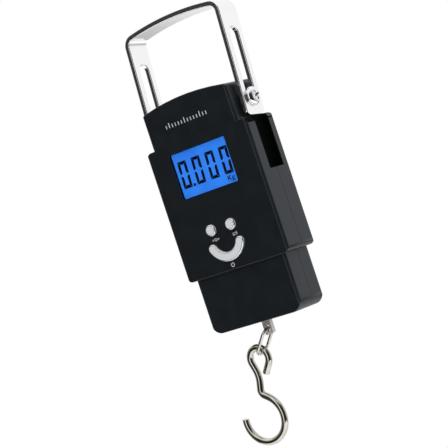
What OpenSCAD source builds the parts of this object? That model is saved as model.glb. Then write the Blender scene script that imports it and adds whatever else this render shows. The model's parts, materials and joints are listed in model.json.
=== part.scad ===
// Hand-held digital hanging scale: stepped two-part casing, chrome slide-out handle, hook on a link.
// Millimetres. +Z up along the load, X to the right, the display faces -Y.
// The origin is the middle of the underside of the handle's bow, where the fingers lift.

/* [Casing] */
// Width of the wide middle of the casing
body_width = 65; // [62:0.5:80]
// Depth of the casing, front face to back face
body_depth = 23.6; // [23.2:0.2:30]
// Height of the wide middle
middle_height = 68; // [66:1:90]
// Height of the narrow top, up to where its shoulders start to round
upper_height = 18.4; // [17:0.2:28]
// Height of the narrow bottom
lower_height = 28.6; // [26:0.2:44]
// How far the narrow top is set in from the middle, each side
upper_step = 5; // [4.8:0.1:6]
// How far the narrow bottom is set in from the middle, each side
lower_step = 4.1; // [2:0.1:6]
// Rise of the curved top above its shoulders
top_rise = 2.8; // [1.5:0.1:5]
// Thickness of the casing walls
wall = 2; // [1.8:0.1:2]

/* [Display] */
// Middle of the display, to the side of the casing's middle
display_x = -1; // [-2:0.1:2]
// Width of the display opening
display_width = 36; // [30:0.2:38]
// Height of the display opening
display_height = 23.4; // [18:0.2:24]
// Depth of the display lens below the front face
lens_recess = 0.8; // [0.5:0.1:1]

/* [Keys] */
// Middle of the keypad, to the side of the casing's middle
keypad_x = -2; // [-3:0.1:3]
// Diameter of the two round keys
round_key = 5.8; // [5:0.1:6.4]
// Distance between the round keys
round_key_pitch = 12.6; // [11:0.2:13]
// Middle radius of the curved key
crescent_radius = 9.4; // [8.6:0.1:9.6]
// Width of the curved key's band
crescent_band = 4.7; // [4:0.1:5.2]
// How far a key goes in when pressed
key_travel = 0.5; // [0.2:0.1:0.6]

/* [Handle] */
// Thickness of the handle strip
strip_thickness = 2.6; // [2:0.1:2.8]
// Width of the handle strip
strip_width = 14.4; // [12:0.2:15]
// Height of the bow's top above the side screws
handle_height = 52.6; // [50:0.2:80]
// How far the handle slides in
handle_travel = 32; // [24:0.5:34]
// Rearward lean of the handle in its slots
handle_lean = 4.4; // [1:0.1:4.6]
// Width of the slots in the legs
slot_width = 7.1; // [6.6:0.1:7.6]

/* [Link and hook] */
// Diameter of the hook wire
hook_wire = 3.6; // [3:0.1:4]
// Middle radius of the hook's eye
eye_radius = 5.6; // [5.4:0.1:7]
// Middle radius of the hook's bowl
bowl_radius = 11.9; // [10:0.1:16]
// Diameter of the link wire
link_wire = 1.7; // [1.4:0.1:1.8]
// Middle radius of the link's round ends
link_end_radius = 4.1; // [4.1:0.1:6]
// Length of the link's straight sides
link_side = 6.9; // [5:0.1:12]
// Lean of the link away from hanging straight
link_lean = 41; // [0:1:45]
// Lean of the hook away from hanging straight
hook_lean = 15; // [0:1:30]

/* [Hidden] */
$fn = 64;
running_gap = 0.1;
half_width = body_width / 2;
upper_half = half_width - upper_step;
lower_half = half_width - lower_step;
lower_front = 1.3;
lower_back = body_depth - 1.4;
parting_y = body_depth * 0.52;
edge_radius = 1.6;
corner_radius = 3;
foot_radius = 6;
shoulder_radius = 2.4;
shoulder_z = middle_height + upper_height;
top_z = shoulder_z + top_rise;
top_radius = (upper_half * upper_half + top_rise * top_rise) / (2 * top_rise);
inner_half = upper_half - wall;
cavity_top = shoulder_z - wall;

// the side screws and the handle that slides on them
screw_y = body_depth * 0.56;
screw_z = middle_height + upper_height / 2;
screw_shank = 4.8;
screw_head = 9.4;
screw_head_height = 2.8;
screw_depth = 9.4;
leg_outer = half_width - 1.2;
leg_inner = leg_outer - strip_thickness;
leg_tail = 9;
bow_rise = 3;
bow_corner = 6;
bow_top = screw_z + handle_height;
bow_radius = (leg_outer * leg_outer + bow_rise * bow_rise) / (2 * bow_rise);
head_gap = 0.2;
pocket_gap = 0.25;
pocket_floor = screw_z - leg_tail - handle_travel - 1.6;
tail_swing = (leg_tail + handle_travel) * sin(handle_lean);
pocket_front = max(1.1, screw_y - strip_width / 2 - tail_swing - 0.5);
pocket_back = screw_y + strip_width / 2 + 0.4;
window_front = screw_y - 6.2;
window_back = screw_y + 5.6;
window_height = 27;

// the display stack, from the lens back to the board
display_z = middle_height - 16.2;
lens_thickness = wall - lens_recess;
lens_border = 1.4;
panel_front = wall + 0.2;
panel_thickness = 2.1;
board_front = panel_front + panel_thickness + 1.5;
board_thickness = 1.4;
board_back = board_front + board_thickness;
board_half = inner_half - 1.5;
board_top = middle_height - 2;
board_bottom = -lower_height + 12.6;
board_screw_x = board_half - 2.6;
board_screw_z = [30, board_bottom + 4];
board_screw_tip = lower_front + wall + 0.3;

// keys, their switches and the holes they stand in
round_key_z = 21.7;
crescent_z = 16.2;
crescent_end = 23;
key_raise = 1;
key_gap = 0.25;
key_flange = 0.6;
key_flange_front = wall + 0.15;
key_flange_thickness = 0.8;
key_stem = 2.5;
switch_size = 4.5;
switch_height = 1.4;
plunger_diameter = 2;
plunger_out = 0.5;
plunger_in = 0.4;
plunger_front = board_front - switch_height - plunger_out;

// the load path inside: frame plate, load cell, tab
load_y = 9;
tab_width = 4.9;
tab_thickness = 2.5;
tab_end = -lower_height - 7.4;
tab_lap = 5.5;
tab_hole = 3.2;
hole_z = -lower_height - 4.1;
tab_front = load_y - tab_thickness / 2;
cell_front = load_y + tab_thickness / 2;
cell_thickness = 3;
cell_half = 6;
cell_back = cell_front + cell_thickness;
frame_thickness = 2.1;
frame_bottom = middle_height - 1;
frame_top = screw_z + 1.2;
flange_thickness = 3;
flange_back = screw_y + 5;
cell_top = frame_top;
cell_bottom = -6;
cell_screws_z = [frame_bottom + 3, frame_top - 3];
tab_screws_z = [-3, 2.5];
small_shank = 3;
small_head = 5;
small_head_height = 1.6;
gauge_z = 38;

// batteries, their tray and the sliding door
battery_diameter = 10.5;
battery_length = 44.5;
battery_x = 13;
door_thickness = 1.2;
door_inner = body_depth - door_thickness;
door_seat = lower_back;
battery_y = door_inner - 0.8 - battery_diameter / 2;
bay_diameter = battery_diameter + 0.4;
bay_bottom = 5;
contact_thickness = 0.5;
spring_length = 6.1;
bay_length = 2 * contact_thickness + spring_length + battery_length;
bay_top = bay_bottom + bay_length;
tray_wall = 0.8;
tray_half = battery_x + bay_diameter / 2 + tray_wall;
tray_inside = battery_x - bay_diameter / 2 - tray_wall;
tray_front = battery_y - bay_diameter / 2 - 0.5;
tray_back = body_depth - wall - 0.05;
door_half = tray_half + 1.6;
door_top = bay_top + 2;
tongue = 0.9;
tongue_thickness = 0.6;

// screws that hold the two halves of the casing together: x, z, back face there
case_screws = [
    [-lower_half + 8, -lower_height + 8, lower_back],
    [lower_half - 8, -lower_height + 8, lower_back],
    [-inner_half + 7.5, cavity_top - 2.4, body_depth],
    [inner_half - 7.5, cavity_top - 2.4, body_depth]
];
case_shank = 2.9;
case_head = 5.2;
case_sink = 2.6;
case_boss = 6.4;

// the hook's path: eye, neck, bend, bowl
eye_start = -22;
eye_lead = 5.8;
eye_sweep = 233;
hook_path = [
    ["line", eye_lead],
    ["arc", eye_radius, eye_sweep],
    ["line", 3.4],
    ["arc", 12, -31.5],
    ["line", 3.7],
    ["arc", 3.2, 72.5],
    ["line", 2.3],
    ["arc", bowl_radius, -247]
];
link_path = [
    ["line", link_side],
    ["arc", link_end_radius, 180],
    ["line", link_side],
    ["arc", link_end_radius, 180]
];
eye_hang = eye_radius - (hook_wire + link_wire) / 2 - 0.25;
link_drop = link_side + 2 * link_end_radius + eye_hang;

// where the fingers lift, in the casing's own measures
grip_rise = handle_height - strip_thickness;
grip_y = screw_y + grip_rise * sin(handle_lean);
grip_z = screw_z + grip_rise * cos(handle_lean);

black = [0.11, 0.12, 0.13];
chrome = [0.85, 0.86, 0.88];
steel = [0.7, 0.7, 0.72];

// ---------- shapes used by several pieces ----------

// a block given by its limits on each axis
module block(x, y, z) {
    translate([x[0], y[0], z[0]])
        cube([x[1] - x[0], y[1] - y[0], z[1] - z[0]]);
}

// a front-view outline made solid between two depths
module prism_y(y0, y1) {
    translate([0, y1, 0])
        rotate([90, 0, 0])
            linear_extrude(y1 - y0)
                children();
}

// a round bar along Y
module rod_y(x, z, y0, y1, d) {
    translate([x, y1, z])
        rotate([90, 0, 0])
            cylinder(h = y1 - y0, d = d);
}

// a round bar along X
module rod_x(x0, x1, y, z, d) {
    translate([x0, y, z])
        rotate([0, 90, 0])
            cylinder(h = x1 - x0, d = d);
}

// a rectangle with four round corners, its lower left corner at the origin
module rounded_rect(w, h, r) {
    translate([r, 0])
        square([w - 2 * r, h]);
    translate([0, r])
        square([w, h - 2 * r]);
    for (x = [r, w - r], y = [r, h - r])
        translate([x, y])
            circle(r);
}

// an upright outline with a gently curved top and round shoulders
module arch(half, base, top, radius, corner) {
    rise = sqrt(pow(radius - corner, 2) - pow(half - corner, 2));
    corner_z = top - radius + rise;
    meet = (half - corner) * radius / (radius - corner);
    translate([-half, base])
        square([2 * half, corner_z - base]);
    for (s = [-1, 1])
        translate([s * (half - corner), corner_z])
            circle(corner);
    intersection() {
        translate([0, top - radius])
            circle(radius, $fn = 256);
        translate([-meet, base])
            square([2 * meet, top - base + 1]);
    }
}

// one end of a wire path to the other, in the XY plane, starting along +X;
// a hair-thin collar laps each pair of pieces so that they join into one wire
module wire(path, d, i = 0) {
    if (i < len(path)) {
        step = path[i];
        if (i > 0)
            translate([-0.1, 0, 0])
                rotate([0, 90, 0])
                    cylinder(h = 0.2, d = d + 0.02);
        if (step[0] == "line") {
            rotate([0, 90, 0])
                cylinder(h = step[1], d = d);
            translate([step[1], 0, 0])
                wire(path, d, i + 1);
        } else {
            turn = sign(step[2]);
            translate([0, turn * step[1], 0])
                rotate(turn > 0 ? -90 : 90 + step[2])
                    rotate_extrude(angle = abs(step[2]))
                        translate([step[1], 0])
                            circle(d = d);
            translate([0, turn * step[1], 0])
                rotate(step[2])
                    translate([0, -turn * step[1], 0])
                        wire(path, d, i + 1);
        }
    }
}

// casing measures to the hanging frame
module hang() {
    translate([0, -grip_y, -grip_z])
        children();
}

// ---------- casing ----------

// one upright block of the casing with its long edges rounded
module casing_block(half, y0, y1, z0, z1) {
    intersection() {
        prism_y(y0, y1)
            children();
        translate([-half, y0, z0])
            linear_extrude(z1 - z0)
                rounded_rect(2 * half, y1 - y0, edge_radius);
    }
}

module casing_outside() {
    casing_block(upper_half, 0, body_depth, middle_height - 10, top_z + 1)
        arch(upper_half, middle_height - 10, top_z, top_radius, shoulder_radius);
    casing_block(half_width, 0, body_depth, 0, middle_height)
        translate([-half_width, 0])
            rounded_rect(body_width, middle_height, corner_radius);
    casing_block(lower_half, lower_front, lower_back, -lower_height, 10)
        translate([-lower_half, -lower_height])
            rounded_rect(2 * lower_half, lower_height + 10, foot_radius);
}

module casing_hollow() {
    block([-inner_half, inner_half], [wall, body_depth - wall], [wall, cavity_top]);
    block([-half_width + wall, half_width - wall], [wall, body_depth - wall], [wall, pocket_floor - wall]);
    block([-lower_half + wall, lower_half - wall],
          [lower_front + wall, lower_back - wall], [-lower_height + wall, wall + 1]);
}

// the pockets the legs slide into, their side windows, and the screw holes
module side_openings() {
    for (s = [0, 1]) mirror([s, 0, 0]) {
        block([leg_inner - pocket_gap, leg_outer + pocket_gap],
              [pocket_front, pocket_back], [pocket_floor, middle_height + 1]);
        block([leg_outer, half_width + 1],
              [window_front, window_back], [middle_height - window_height, middle_height + 1]);
        rod_x(inner_half - 1, upper_half + 1, screw_y, screw_z, screw_shank + 0.4);
    }
}

module round_key_outline(side, grow) {
    translate([keypad_x + side * round_key_pitch / 2, round_key_z])
        circle(d = round_key + 2 * grow);
}

module crescent_outline(grow) {
    far = 3 * crescent_radius;
    x = cos(crescent_end);
    z = -sin(crescent_end);
    translate([keypad_x, crescent_z]) {
        intersection() {
            difference() {
                circle(crescent_radius + crescent_band / 2 + grow);
                circle(crescent_radius - crescent_band / 2 - grow);
            }
            polygon([[0, 0], [far * x, far * z], [far, -far], [-far, -far], [-far * x, far * z]]);
        }
        for (s = [-1, 1])
            translate([s * crescent_radius * x, crescent_radius * z])
                circle(crescent_band / 2 + grow - 0.02);
    }
}

module display_rect(grow, radius) {
    translate([display_x - display_width / 2 - grow, display_z - display_height / 2 - grow])
        rounded_rect(display_width + 2 * grow, display_height + 2 * grow, radius);
}

module front_shell() {
    color(black) {
        difference() {
            intersection() {
                casing_outside();
                block([-body_width, body_width], [-1, parting_y], [-2 * lower_height, top_z + 1]);
            }
            casing_hollow();
            side_openings();
            prism_y(-1, wall + 1)
                display_rect(0, 1);
            prism_y(lens_recess, wall + 1)
                display_rect(lens_border + running_gap, 1.2);
            for (side = [-1, 1])
                prism_y(-1, wall + 1)
                    round_key_outline(side, key_gap);
            prism_y(-1, wall + 1)
                crescent_outline(key_gap);
            block([-tab_width / 2 - 0.4, tab_width / 2 + 0.4],
                  [tab_front - 0.4, cell_front + 0.4], [-lower_height - 1, -lower_height + wall + 1]);
        }
        for (s = case_screws)
            difference() {
                rod_y(s[0], s[1], wall - 0.5, parting_y, case_boss);
                rod_y(s[0], s[1], wall + 2.5, parting_y + 1, case_shank + 0.1);
            }
        for (x = [-board_screw_x, board_screw_x], z = board_screw_z)
            difference() {
                rod_y(x, z, wall - 0.5, board_front, 4.4);
                rod_y(x, z, wall + 0.8, board_front + 1, 2.1);
            }
    }
}

module back_shell() {
    color(black)
        difference() {
            union() {
                difference() {
                    intersection() {
                        casing_outside();
                        block([-body_width, body_width], [parting_y, body_depth + 1],
                              [-2 * lower_height, top_z + 1]);
                    }
                    casing_hollow();
                    side_openings();
                }
                for (s = case_screws)
                    rod_y(s[0], s[1], parting_y, s[2] - wall + 0.5, case_boss);
            }
            for (s = case_screws) {
                rod_y(s[0], s[1], parting_y - 1, s[2] + 1, case_shank + 0.3);
                rod_y(s[0], s[1], s[2] - case_sink, s[2] + 1, case_head + 0.6);
            }
            block([-tray_half - 0.1, tray_half + 0.1], [body_depth - wall - 1, body_depth + 1],
                  [bay_bottom - 2.6, bay_top + 0.6]);
            block([-door_half - 0.2, door_half + 0.2], [door_seat, body_depth + 1], [-1, door_top + 0.2]);
            block([-door_half - tongue - 0.2, door_half + tongue + 0.2],
                  [door_seat, door_inner + tongue_thickness + 0.15], [-1, door_top + 0.2]);
        }
}

// the four self-tapping screws that close the casing
module case_screws() {
    color(steel)
        for (s = case_screws)
            difference() {
                union() {
                    rod_y(s[0], s[1], s[2] - case_sink, s[2] - case_sink + 1.8, case_head);
                    rod_y(s[0], s[1], wall + 4, s[2] - case_sink + 0.1, case_shank);
                }
                for (a = [0, 90])
                    translate([s[0], s[2] - case_sink + 1.8, s[1]])
                        rotate([0, a, 0])
                            cube([2.8, 1.8, 0.6], center = true);
            }
}

// ---------- display and electronics ----------

module display_window() {
    color([0.6, 0.75, 0.95, 0.4])
        prism_y(lens_recess, lens_recess + lens_thickness)
            display_rect(lens_border, 1.1);
}

module lcd_panel() {
    color([0.18, 0.5, 0.93])
        prism_y(panel_front, panel_front + panel_thickness)
            display_rect(1.5, 0.5);
}

module backlight() {
    color([0.8, 0.9, 1])
        block([display_x - display_width / 2 - 1.5, display_x + display_width / 2 + 1.5],
              [panel_front + panel_thickness, board_front],
              [display_z - display_height / 2 + 1.5, display_z + display_height / 2 + 1.5]);
}

// the rubber strip that carries the contacts from the board to the display glass
module contact_strip() {
    color([0.9, 0.55, 0.6])
        block([display_x - display_width / 2, display_x + display_width / 2],
              [panel_front + panel_thickness, board_front],
              [display_z - display_height / 2 - 1.3, display_z - display_height / 2 + 1.1]);
}

module circuit_board() {
    color([0.05, 0.35, 0.2])
        difference() {
            block([-board_half, board_half], [board_front, board_back], [board_bottom, board_top]);
            for (x = [-board_screw_x, board_screw_x], z = board_screw_z)
                rod_y(x, z, board_front - 1, board_back + 1, 2.4);
        }
}

module board_screws() {
    color(steel)
        for (x = [-board_screw_x, board_screw_x], z = board_screw_z) {
            rod_y(x, z, board_back, board_back + 1.1, 4);
            rod_y(x, z, board_screw_tip, board_back + 0.1, 2);
        }
}

// the controller under its epoxy cap and the converter chip beside it
module board_chips() {
    color([0.08, 0.08, 0.09]) {
        rod_y(-12, 31, board_back, board_back + 1, 11);
        block([8, 16], [board_back, board_back + 1.2], [27, 33]);
    }
}

module buzzer() {
    color([0.1, 0.1, 0.1])
        difference() {
            rod_y(-14, board_bottom + 9, board_back, board_back + 2.6, 9);
            rod_y(-14, board_bottom + 9, board_back + 2, board_back + 3, 2);
        }
}

module switch_at(x, z) {
    difference() {
        block([x - switch_size / 2, x + switch_size / 2], [board_front - switch_height, board_front],
              [z - switch_size / 2, z + switch_size / 2]);
        rod_y(x, z, board_front - switch_height - 1, board_front - 0.2, plunger_diameter + 0.2);
    }
}

module key_switches() {
    color([0.2, 0.2, 0.22]) {
        for (side = [-1, 1])
            switch_at(keypad_x + side * round_key_pitch / 2, round_key_z);
        switch_at(keypad_x, crescent_z - crescent_radius);
    }
}

// a key: raised cap, flange behind the front wall, stem to its switch
module key_body(x, z) {
    prism_y(-key_raise, key_flange_front)
        children(0);
    prism_y(key_flange_front, key_flange_front + key_flange_thickness)
        children(1);
    rod_y(x, z, key_flange_front + key_flange_thickness - 0.1, plunger_front, key_stem);
}

module plunger(x, z) {
    color([0.75, 0.75, 0.72])
        rod_y(x, z, plunger_front, board_front - switch_height + plunger_in, plunger_diameter);
}

module key_round(side) {
    color([0.84, 0.85, 0.87])
        key_body(keypad_x + side * round_key_pitch / 2, round_key_z) {
            round_key_outline(side, 0);
            round_key_outline(side, key_flange);
        }
}

module key_left() { key_round(-1); }
module key_right() { key_round(1); }

module key_crescent() {
    color([0.84, 0.85, 0.87])
        key_body(keypad_x, crescent_z - crescent_radius) {
            crescent_outline(0);
            crescent_outline(key_flange);
        }
}

module plunger_left() { plunger(keypad_x - round_key_pitch / 2, round_key_z); }
module plunger_right() { plunger(keypad_x + round_key_pitch / 2, round_key_z); }
module plunger_crescent() { plunger(keypad_x, crescent_z - crescent_radius); }

// ---------- load path ----------

// bent steel plate that joins the two side screws and carries the load cell
module frame_plate() {
    color(steel)
        difference() {
            union() {
                block([-inner_half, inner_half], [cell_front - frame_thickness, cell_front],
                      [frame_bottom, frame_top]);
                for (s = [0, 1]) mirror([s, 0, 0])
                    block([inner_half - flange_thickness, inner_half],
                          [cell_front - frame_thickness, flange_back], [frame_bottom, screw_z + 5]);
            }
            for (s = [0, 1]) mirror([s, 0, 0])
                rod_x(inner_half - flange_thickness - 1, inner_half + 1, screw_y, screw_z,
                      screw_shank + 0.1);
            for (z = cell_screws_z)
                rod_y(0, z, cell_front - frame_thickness - 1, cell_front + 1, small_shank + 0.1);
        }
}

// flat S-shaped beam that bends a little under the load
module load_cell() {
    slot = 1.6;
    color([0.78, 0.79, 0.8])
        difference() {
            block([-cell_half, cell_half], [cell_front, cell_back], [cell_bottom, cell_top]);
            block([-cell_half - 1, 2], [cell_front - 1, cell_back + 1], [gauge_z + 9, gauge_z + 9 + slot]);
            block([-2, cell_half + 1], [cell_front - 1, cell_back + 1], [gauge_z - 9 - slot, gauge_z - 9]);
            for (z = [gauge_z - 4.5, gauge_z + 4.5])
                rod_y(0, z, cell_front - 1, cell_back + 1, 5);
            for (z = concat(cell_screws_z, tab_screws_z))
                rod_y(0, z, cell_front - 1, cell_back + 1, small_shank + 0.1);
        }
}

// foil gauges bonded to both faces of the beam
module strain_gauges() {
    color([0.8, 0.5, 0.2])
        for (x = [-cell_half + 0.6, cell_half - 2.6], y = [cell_front - 0.2, cell_back])
            block([x, x + 2], [y, y + 0.2], [gauge_z - 2.5, gauge_z + 2.5]);
}

module cell_screws() {
    color(steel)
        for (z = cell_screws_z) {
            rod_y(0, z, cell_front - frame_thickness - small_head_height,
                  cell_front - frame_thickness, small_head);
            rod_y(0, z, cell_front - frame_thickness - 0.1, cell_back, small_shank);
        }
}

module tab_screws() {
    color(steel)
        for (z = tab_screws_z) {
            rod_y(0, z, cell_back, cell_back + small_head_height, small_head);
            rod_y(0, z, tab_front, cell_back + 0.1, small_shank);
        }
}

// flat steel tab that comes out of the bottom and holds the link
module hook_tab() {
    color(chrome)
        difference() {
            prism_y(tab_front, cell_front)
                translate([-tab_width / 2, tab_end])
                    rounded_rect(tab_width, tab_lap - tab_end, 1.2);
            rod_y(0, hole_z, tab_front - 1, cell_front + 1, tab_hole);
            for (z = tab_screws_z)
                rod_y(0, z, tab_front - 1, cell_front + 1, small_shank + 0.1);
        }
}

// pan-head screws through the casing sides into the frame plate
module handle_screws() {
    head_x = leg_outer + head_gap;
    dome = 1;
    color(chrome)
        for (s = [0, 1]) mirror([s, 0, 0])
            difference() {
                union() {
                    rod_x(head_x - screw_depth, head_x + 0.1, screw_y, screw_z, screw_shank);
                    translate([head_x, screw_y, screw_z])
                        rotate([0, 90, 0])
                            rotate_extrude()
                                polygon([[0, 0], [screw_head / 2, 0],
                                         [screw_head / 2, screw_head_height - 2 * dome],
                                         [screw_head / 2 - 0.7, screw_head_height - dome],
                                         [screw_head / 2 - 2, screw_head_height - 0.3],
                                         [0, screw_head_height]]);
                }
                for (a = [20, 110])
                    translate([head_x + screw_head_height, screw_y, screw_z])
                        rotate([a, 0, 0])
                            cube([3.2, 5.2, 1.1], center = true);
            }
}

// ---------- batteries ----------

module tray_bay(side) {
    block([side > 0 ? tray_inside : -tray_half, side > 0 ? tray_half : -tray_inside],
          [tray_front, tray_back], [bay_bottom - tray_wall, bay_top + tray_wall]);
}

module battery_tray() {
    color([0.15, 0.15, 0.16])
        difference() {
            union() {
                for (side = [-1, 1])
                    tray_bay(side);
                block([-tray_inside - 0.1, tray_inside + 0.1], [battery_y - 0.6, battery_y + 0.6],
                      [bay_bottom - tray_wall, bay_top + tray_wall]);
            }
            for (side = [-1, 1]) {
                translate([side * battery_x, battery_y, bay_bottom])
                    cylinder(h = bay_length, d = bay_diameter);
                block([side * battery_x - bay_diameter / 2, side * battery_x + bay_diameter / 2],
                      [battery_y, tray_back + 1], [bay_bottom, bay_top]);
            }
        }
}

// one cell standing on z, its button end down when flipped
module battery(x, z, flipped) {
    nub = 0.8;
    color([0.35, 0.4, 0.42])
        translate([x, battery_y, z]) {
            translate([0, 0, flipped ? nub : 0])
                cylinder(h = battery_length - nub, d = battery_diameter);
            translate([0, 0, flipped ? 0 : battery_length - nub - 0.1])
                cylinder(h = nub + 0.1, d = 3.8);
        }
}

module battery_left() {
    battery(-battery_x, bay_bottom + contact_thickness, true);
}

module battery_right() {
    battery(battery_x, bay_bottom + contact_thickness + spring_length, false);
}

// sprung contacts, one above the left cell and one below the right cell
module battery_springs() {
    turns = 4;
    pitch = spring_length / turns;
    color([0.8, 0.78, 0.7])
        for (p = [[-battery_x, bay_top - contact_thickness - spring_length],
                  [battery_x, bay_bottom + contact_thickness]])
            translate([p[0], battery_y, p[1]])
                for (i = [0 : turns - 1])
                    translate([0, 0, i * pitch])
                        difference() {
                            cylinder(h = pitch, d = i % 2 == 0 ? 6.8 : 6.2);
                            translate([0, 0, -0.1])
                                cylinder(h = pitch + 0.2, d = 5.2);
                        }
}

module battery_plates() {
    color([0.85, 0.84, 0.8])
        for (x = [-battery_x, battery_x], z = [bay_bottom, bay_top - contact_thickness])
            block([x - 4, x + 4], [battery_y - 3, battery_y + 4], [z, z + contact_thickness]);
}

// sliding door: plate flush with the back, tongues along both sides, finger ridges
module battery_door() {
    bottom = 0.1;
    color(black) {
        block([-door_half, door_half], [door_inner, body_depth], [bottom, door_top]);
        block([-door_half - tongue, door_half + tongue], [door_inner, door_inner + tongue_thickness],
              [bottom, door_top]);
        for (i = [0 : 2])
            block([-6, 6], [body_depth - 0.1, body_depth + 0.4], [8 + 2.4 * i, 9.2 + 2.4 * i]);
    }
}

// ---------- wiring ----------

// thin wires from the gauges on the beam to the board
module cell_leads() {
    lead = 0.7;
    colors = [[0.8, 0.1, 0.1], [0.1, 0.1, 0.1], [0.1, 0.5, 0.2], [0.9, 0.9, 0.9]];
    for (i = [0 : 3])
        color(colors[i])
            rod_y(-2.4 + 1.6 * i, gauge_z + 18, board_back, cell_front, lead);
}

// the pair of wires from the battery contacts to the board
module battery_leads() {
    lead = 1;
    for (side = [-1, 1])
        color(side > 0 ? [0.8, 0.1, 0.1] : [0.1, 0.1, 0.1])
            rod_y(side * (battery_x - 3), bay_top - 3, board_back, tray_front, lead);
}

// ---------- handle, link, hook ----------

// turns a piece about the side screws into the handle's lean
module lean() {
    translate([0, screw_y, screw_z])
        rotate([-handle_lean, 0, 0])
            children();
}

module sleeve(side) {
    color([0.9, 0.9, 0.86])
        lean()
            mirror([side > 0 ? 0 : 1, 0, 0])
                difference() {
                    rod_x(upper_half + 0.15, leg_outer + head_gap - 0.1, 0, 0,
                          slot_width - 2 * running_gap);
                    rod_x(upper_half - 1, leg_outer + 1, 0, 0, screw_shank + 0.1);
                }
}

module sleeve_left() { sleeve(-1); }
module sleeve_right() { sleeve(1); }

// one slot through both legs, its lower end around the screws
module leg_slots() {
    wide = leg_outer + 1;
    rod_x(-wide, wide, 0, 0, slot_width);
    rod_x(-wide, wide, 0, handle_travel, slot_width);
    block([-wide, wide], [-slot_width / 2, slot_width / 2], [0, handle_travel]);
}

module handle() {
    color(chrome)
        lean()
            difference() {
                intersection() {
                    prism_y(-strip_width / 2, strip_width / 2)
                        difference() {
                            arch(leg_outer, -leg_tail, handle_height, bow_radius, bow_corner);
                            arch(leg_inner, -leg_tail - 1, handle_height - strip_thickness,
                                 bow_radius - strip_thickness, bow_corner - strip_thickness);
                        }
                    rotate([90, 0, 90])
                        translate([-strip_width / 2, -leg_tail, -body_width])
                            linear_extrude(2 * body_width)
                                rounded_rect(strip_width, handle_height + leg_tail + 6, 2.4);
                }
                leg_slots();
            }
}

module link() {
    color(chrome)
        translate([0, load_y, hole_z])
            rotate([0, link_lean, 0])
                translate([0, 0, -link_end_radius])
                    rotate([0, 90, 0])
                        translate([0, -link_end_radius, 0])
                            wire(link_path, link_wire);
}

module hook() {
    color(chrome)
        translate([0, load_y, hole_z])
            rotate([0, link_lean, 0])
                translate([0, 0, -link_drop])
                    rotate([0, hook_lean - link_lean, 0])
                        rotate([90, 0, 0])
                            rotate(eye_start)
                                translate([eye_radius, 0, 0])
                                    rotate(90)
                                        translate([-eye_lead, 0, 0])
                                            wire(hook_path, hook_wire);
}

hang() front_shell();
hang() back_shell();
hang() case_screws();
hang() display_window();
hang() lcd_panel();
hang() backlight();
hang() contact_strip();
hang() circuit_board();
hang() board_screws();
hang() board_chips();
hang() buzzer();
hang() key_switches();
hang() key_left();
hang() key_right();
hang() key_crescent();
hang() plunger_left();
hang() plunger_right();
hang() plunger_crescent();
hang() frame_plate();
hang() load_cell();
hang() strain_gauges();
hang() cell_screws();
hang() tab_screws();
hang() hook_tab();
hang() handle_screws();
hang() battery_tray();
hang() battery_left();
hang() battery_right();
hang() battery_springs();
hang() battery_plates();
hang() battery_door();
hang() cell_leads();
hang() battery_leads();
hang() sleeve_left();
hang() sleeve_right();
hang() handle();
hang() link();
hang() hook();
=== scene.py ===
import json
from math import atan2, cos, degrees, pi, radians, sin, sqrt

import bmesh
import bpy
from mathutils import Matrix, Vector


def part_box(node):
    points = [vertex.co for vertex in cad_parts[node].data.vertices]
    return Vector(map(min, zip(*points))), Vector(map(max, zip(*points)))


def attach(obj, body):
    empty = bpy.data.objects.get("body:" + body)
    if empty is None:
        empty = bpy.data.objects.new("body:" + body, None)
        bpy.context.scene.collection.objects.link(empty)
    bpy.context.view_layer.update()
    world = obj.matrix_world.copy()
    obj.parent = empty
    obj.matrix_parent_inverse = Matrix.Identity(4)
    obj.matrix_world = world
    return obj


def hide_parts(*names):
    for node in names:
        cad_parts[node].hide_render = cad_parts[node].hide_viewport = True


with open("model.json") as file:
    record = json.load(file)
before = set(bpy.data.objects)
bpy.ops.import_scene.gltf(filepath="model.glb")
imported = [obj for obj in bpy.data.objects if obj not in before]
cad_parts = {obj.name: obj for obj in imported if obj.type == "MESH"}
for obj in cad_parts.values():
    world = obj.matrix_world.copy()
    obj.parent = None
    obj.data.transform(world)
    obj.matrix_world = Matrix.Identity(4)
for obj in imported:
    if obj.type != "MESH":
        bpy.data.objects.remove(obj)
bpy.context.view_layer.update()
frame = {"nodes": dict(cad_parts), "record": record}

# ---------- camera, studio light and floor ----------
# The scale hangs in a white studio. The walls behind and beside it are bright, and the quarter that
# its face looks at is dark but for one tall strip light, which draws a line along the soft edges.

mm = 0.001
scene = bpy.context.scene
scene.view_settings.view_transform = "Standard"

camera_azimuth, camera_elevation, camera_roll = radians(37.16), radians(-0.83), radians(-18.34)
camera_target = Vector((-8.59, -5.05, -104.2)) * mm
camera_distance = 902.3 * mm
back = Vector((sin(camera_azimuth) * cos(camera_elevation),
               -cos(camera_azimuth) * cos(camera_elevation), sin(camera_elevation)))
level = (-back).cross(Vector((0, 0, 1))).normalized()
upright = level.cross(-back)
right = cos(camera_roll) * level + sin(camera_roll) * upright
up = -sin(camera_roll) * level + cos(camera_roll) * upright
camera_data = bpy.data.cameras.new("camera")
camera_data.sensor_width, camera_data.lens = 36, 145.7
camera_data.clip_start, camera_data.clip_end = 0.05, 30
camera = bpy.data.objects.new("camera", camera_data)
camera.matrix_world = Matrix.Translation(camera_target + back * camera_distance) @ Matrix(
    (right, up, back)).transposed().to_4x4()
scene.collection.objects.link(camera)
scene.camera = camera


def colour(text):
    """An sRGB hex colour as the linear values that the shaders take."""
    parts = [int(text[i:i + 2], 16) / 255 for i in (1, 3, 5)]
    return [c / 12.92 if c <= 0.04045 else ((c + 0.055) / 1.055) ** 2.4 for c in parts] + [1]


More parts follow.
